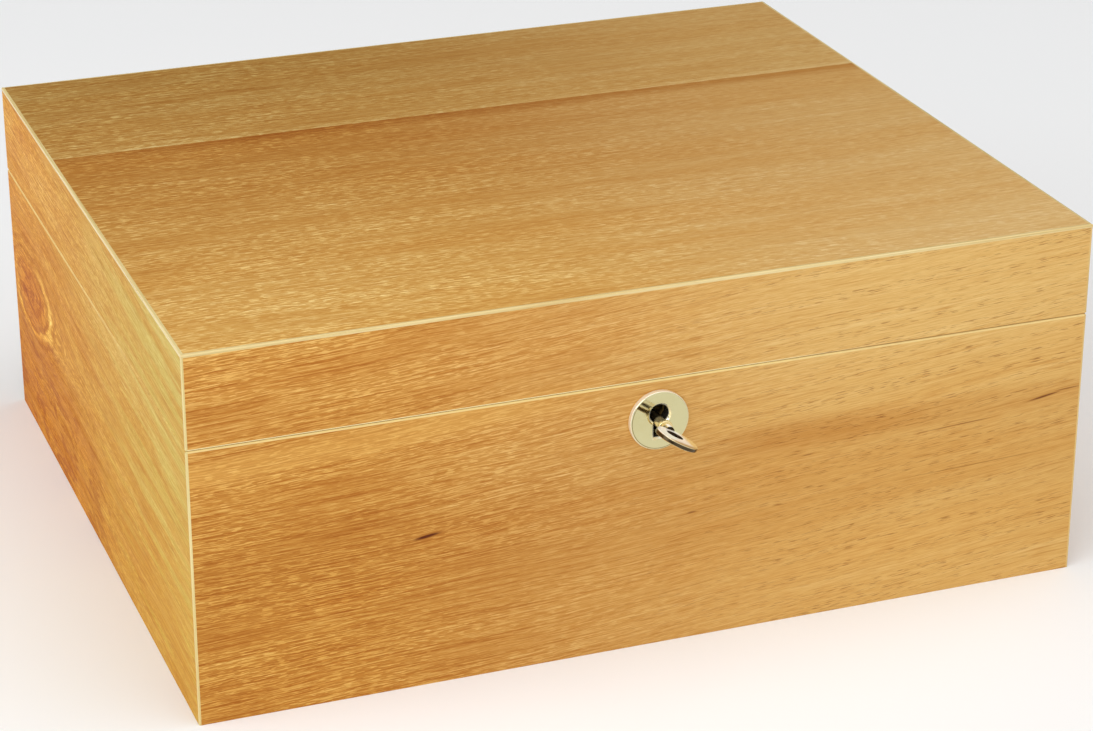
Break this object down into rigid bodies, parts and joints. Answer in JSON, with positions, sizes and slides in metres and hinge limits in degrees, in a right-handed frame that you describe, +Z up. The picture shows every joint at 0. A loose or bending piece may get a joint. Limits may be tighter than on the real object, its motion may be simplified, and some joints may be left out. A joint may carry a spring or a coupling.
{
  "type": "lockable wooden money box",
  "caption": "Rectangular wooden money box with a hinged lid, pale stringing along its edges, a lined compartment and a keyed box lock with a round escutcheon.",
  "frame": {"origin": "centre of the underside, in the plane that the box stands on", "axes": "+X to the right along the front, +Y from the front to the hinged back, +Z up"},
  "size_m": [0.3, 0.2818, 0.1233],
  "materials": {
    "case_wood": "satin french polish, honey brown, fine open pores",
    "stringing": "pale boxwood, satin polish",
    "lining_wood": "plain cedar lining, oiled",
    "floor_board": "plain board, unpolished",
    "felt": "dark green wool felt",
    "baize": "green baize, glued",
    "escutcheon_brass": "pale polished brass",
    "key_brass": "polished brass, worn",
    "lock_brass": "satin brass sheet",
    "hinge_brass": "satin brass",
    "steel": "plain bright steel"
  },
  "bodies": {
    "base": {"base_front_wall": "case_wood", "lining_front": "lining_wood", "base_right_wall": "case_wood", "lining_right": "lining_wood", "base_back_wall": "case_wood", "lining_back": "lining_wood", "base_left_wall": "case_wood", "lining_left": "lining_wood", "base_string_front_left": "stringing", "base_string_front_right": "stringing", "base_string_back_right": "stringing", "base_string_back_left": "stringing", "hinge_base_leaf_left": "hinge_brass", "hinge_base_screws_left": "hinge_brass", "hinge_pin_left": "hinge_brass", "hinge_base_leaf_right": "hinge_brass", "hinge_base_screws_right": "hinge_brass", "hinge_pin_right": "hinge_brass", "base_floor": "floor_board", "base_baize": "baize", "floor_felt": "felt", "lock_case": "lock_brass", "lock_cap": "lock_brass", "lock_selvedge": "lock_brass", "lock_key_post": "steel", "lock_spring": "steel", "lock_screws": "hinge_brass", "escutcheon": "escutcheon_brass"},
    "lid": {"lid_front_wall": "case_wood", "lid_string_front": "stringing", "lid_right_wall": "case_wood", "lid_string_right": "stringing", "lid_back_wall": "case_wood", "lid_string_back": "stringing", "lid_left_wall": "case_wood", "lid_string_left": "stringing", "lid_corner_string_front_left": "stringing", "lid_corner_string_front_right": "stringing", "lid_corner_string_back_right": "stringing", "lid_corner_string_back_left": "stringing", "hinge_lid_leaf_left": "hinge_brass", "hinge_lid_screws_left": "hinge_brass", "hinge_lid_leaf_right": "hinge_brass", "hinge_lid_screws_right": "hinge_brass", "lid_top_board_front": "case_wood", "lid_top_board_back": "case_wood", "lid_felt": "felt", "strike_plate": "lock_brass", "strike_screws": "hinge_brass"},
    "lock_bolt": {"lock_bolt": "steel"},
    "key": {"key": "key_brass"}
  },
  "joints": [
    {"name": "lid_hinge", "type": "hinge", "parent": "base", "child": "lid", "pos_m": [0, 0.128, 0.0923], "axis": [-1, 0, 0], "range_deg": [0, 95]},
    {"name": "key_turn", "type": "hinge", "parent": "base", "child": "key", "pos_m": [0, -0.129, 0.0785], "axis": [0, 1, 0], "range_deg": [0, 110]},
    {"name": "bolt_slide", "type": "slide", "parent": "base", "child": "lock_bolt", "axis": [1, 0, 0], "range_m": [0, 0.0075]}
  ],
  "couplings": [
    {"joint": "key_turn", "follows": "bolt_slide", "rad_per_m": 255.96}
  ]
}
